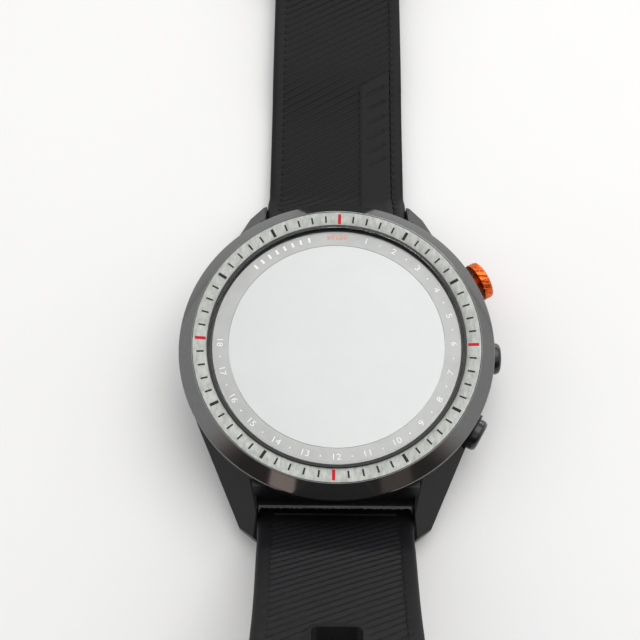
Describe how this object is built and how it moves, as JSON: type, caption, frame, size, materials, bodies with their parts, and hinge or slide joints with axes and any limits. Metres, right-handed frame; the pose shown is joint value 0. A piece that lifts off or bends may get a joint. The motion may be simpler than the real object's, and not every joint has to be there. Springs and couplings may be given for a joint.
{
  "type": "golf gps watch",
  "caption": "Round golf watch: fixed bezel with a minute scale, hole-number ring under the glass, side push buttons, hinged quick-release strap with tongue buckle.",
  "frame": {"origin": "centre of the flat crest of the sensor window at the back, the lowest face of the case", "axes": "+Z out of the dial, +Y to the 12 o'clock strap half, +X to the buttons at 3 o'clock"},
  "size_m": [0.0485, 0.231, 0.0431],
  "materials": {
    "case_polymer": "fine-textured black reinforced polymer",
    "bezel_ceramic": "polished black ceramic",
    "scale_silver": "pearl silver lacquer with black and red ticks",
    "seal_rubber": "black elastomer",
    "lens_glass": "clear strengthened glass",
    "number_mask": "dark printed ring with white hole numbers",
    "display": "reflective colour screen, off",
    "inner_plastic": "glass-filled moulding",
    "circuit_board": "green solder mask",
    "shield_metal": "tin-plated shield cans",
    "antenna_metal": "plated flexible antenna",
    "battery_foil": "foil pouch cell",
    "steel": "stainless steel",
    "black_metal": "black coated stainless steel",
    "window_glass": "smoked glass",
    "led_package": "optical sensor packages",
    "contact_gold": "gold-plated contacts",
    "button_orange": "orange anodised, knurled",
    "button_black": "gloss black",
    "strap_silicone": "ribbed black silicone"
  },
  "bodies": {
    "case": {"case_body": "case_polymer", "bezel": "bezel_ceramic", "bezel_gasket": "seal_rubber", "scale_ring": "scale_silver", "lens": "lens_glass", "lens_gasket": "seal_rubber", "hole_number_ring": "number_mask", "display_panel": "display", "display_carrier": "steel", "midframe": "inner_plastic", "main_board": "circuit_board", "board_shields": "shield_metal", "antenna_ring": "antenna_metal", "battery": "battery_foil", "vibration_motor": "steel", "key_bracket": "steel", "rear_cover": "case_polymer", "rear_cover_gasket": "seal_rubber", "rear_cover_screws": "black_metal", "sensor_window": "window_glass", "sensor_board": "circuit_board", "sensor_leds": "led_package", "charging_contacts": "contact_gold", "lug_pin_upper": "black_metal", "lug_pin_lower": "black_metal", "button_top_spring": "steel", "button_top_switch": "inner_plastic", "button_middle_spring": "steel", "button_middle_switch": "inner_plastic", "button_lower_spring": "steel", "button_lower_switch": "inner_plastic"},
    "button_top": {"button_top": "button_orange", "button_top_seal": "seal_rubber", "button_top_clip": "steel"},
    "button_middle": {"button_middle": "button_black", "button_middle_seal": "seal_rubber", "button_middle_clip": "steel"},
    "button_lower": {"button_lower": "button_black", "button_lower_seal": "seal_rubber", "button_lower_clip": "steel"},
    "strap_upper_near": {"strap_upper_near": "strap_silicone", "strap_clip_upper": "inner_plastic", "latch_spring_upper": "steel"},
    "latch_upper": {"strap_latch_upper": "black_metal"},
    "strap_upper_far": {"strap_upper_far": "strap_silicone", "keeper_fixed": "strap_silicone"},
    "keeper_sliding": {"keeper_sliding": "strap_silicone"},
    "buckle": {"buckle_frame": "black_metal", "buckle_bar": "steel"},
    "tongue": {"buckle_tongue": "black_metal"},
    "strap_lower_near": {"strap_lower_near": "strap_silicone", "strap_clip_lower": "inner_plastic", "latch_spring_lower": "steel"},
    "latch_lower": {"strap_latch_lower": "black_metal"},
    "strap_lower_far": {"strap_lower_far": "strap_silicone"}
  },
  "joints": [
    {"name": "press_button_top", "type": "slide", "parent": "case", "child": "button_top", "axis": [-0.866, -0.5, 0], "range_m": [0, 0.0006], "stiffness_N_per_m": 500},
    {"name": "press_button_middle", "type": "slide", "parent": "case", "child": "button_middle", "axis": [-1, 0, 0], "range_m": [0, 0.0006], "stiffness_N_per_m": 500},
    {"name": "press_button_lower", "type": "slide", "parent": "case", "child": "button_lower", "axis": [-0.866, 0.5, 0], "range_m": [0, 0.0006], "stiffness_N_per_m": 500},
    {"name": "swing_strap_upper", "type": "hinge", "parent": "case", "child": "strap_upper_near", "pos_m": [0, 0.0248, 0.0038], "axis": [1, 0, 0], "range_deg": [-75, 45]},
    {"name": "bend_strap_upper", "type": "hinge", "parent": "strap_upper_near", "child": "strap_upper_far", "pos_m": [0, 0.06423, 0.00269], "axis": [1, 0, 0], "range_deg": [-25, 25], "stiffness_Nm_per_rad": 0.05},
    {"name": "slide_keeper", "type": "slide", "parent": "strap_upper_far", "child": "keeper_sliding", "axis": [0, 1, 0], "range_m": [-0.012, 0.004]},
    {"name": "swing_buckle", "type": "hinge", "parent": "strap_upper_far", "child": "buckle", "pos_m": [0, 0.09953, 0.00269], "axis": [1, 0, 0], "range_deg": [-40, 70]},
    {"name": "swing_tongue", "type": "hinge", "parent": "buckle", "child": "tongue", "pos_m": [0, 0.09953, 0.00269], "axis": [1, 0, 0], "range_deg": [0, 60]},
    {"name": "swing_strap_lower", "type": "hinge", "parent": "case", "child": "strap_lower_near", "pos_m": [0, -0.0248, 0.0038], "axis": [-1, 0, 0], "range_deg": [-90, 15]},
    {"name": "bend_strap_lower", "type": "hinge", "parent": "strap_lower_near", "child": "strap_lower_far", "pos_m": [0, -0.03702, 0.01963], "axis": [-1, 0, 0], "range_deg": [-20, 20], "stiffness_Nm_per_rad": 0.3},
    {"name": "open_latch_upper", "type": "slide", "parent": "strap_upper_near", "child": "latch_upper", "axis": [0, 0.891, -0.454], "range_m": [0, 0.0018], "stiffness_N_per_m": 200},
    {"name": "open_latch_lower", "type": "slide", "parent": "strap_lower_near", "child": "latch_lower", "axis": [0, -0.6018, 0.7986], "range_m": [0, 0.0018], "stiffness_N_per_m": 200}
  ]
}
